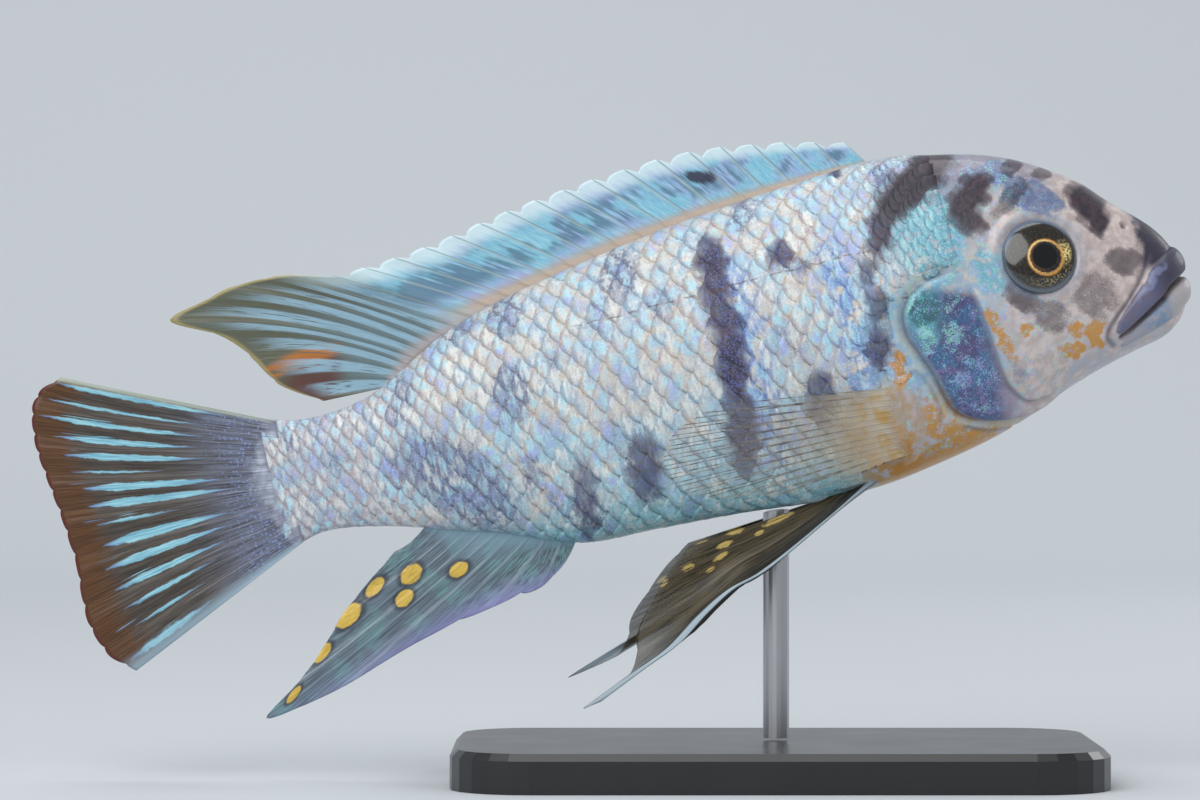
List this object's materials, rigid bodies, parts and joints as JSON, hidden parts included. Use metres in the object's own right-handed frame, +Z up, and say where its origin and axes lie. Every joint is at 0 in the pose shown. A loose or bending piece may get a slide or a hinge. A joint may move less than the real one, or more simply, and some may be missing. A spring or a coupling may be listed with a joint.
{
  "type": "zebra mbuna fish model",
  "caption": "Still, life-size model of a blotched male zebra mbuna cichlid, nose slightly up, held by a rod on a flat display base.",
  "frame": {"origin": "on the floor under the middle of the part's bounding box, at the level of the base's underside", "axes": "+X towards the snout, +Y towards the fish's left side, +Z up"},
  "size_m": [0.1328, 0.044, 0.073],
  "materials": {
    "skin": "wet, glossy scaled skin, creamy white with pale blue shine and dark blotches",
    "gill_cover": "wet, glossy skin, blue and violet with turquoise glints",
    "fin": "thin translucent membrane, blue-grey with pale blue streaks along the rays",
    "dark_fin": "thin membrane, black behind a pale leading ray",
    "clear_fin": "thin clear membrane with fine dark ray lines",
    "eye": "polished, dark iris with a thin gold ring",
    "base": "satin, near black",
    "rod": "brushed"
  },
  "bodies": {
    "root": {"head": "skin", "jaw": "skin", "gill_cover_left": "gill_cover", "gill_cover_right": "gill_cover", "trunk": "skin", "tail_stem": "skin", "dorsal_fin": "fin", "anal_fin": "fin", "tail_fin": "fin", "pelvic_fin_left": "dark_fin", "pelvic_fin_right": "dark_fin", "pectoral_fin_left": "clear_fin", "pectoral_fin_right": "clear_fin", "eye_left": "eye", "eye_right": "eye", "stand_base": "base", "stand_rod": "rod"}
  },
  "joints": []
}
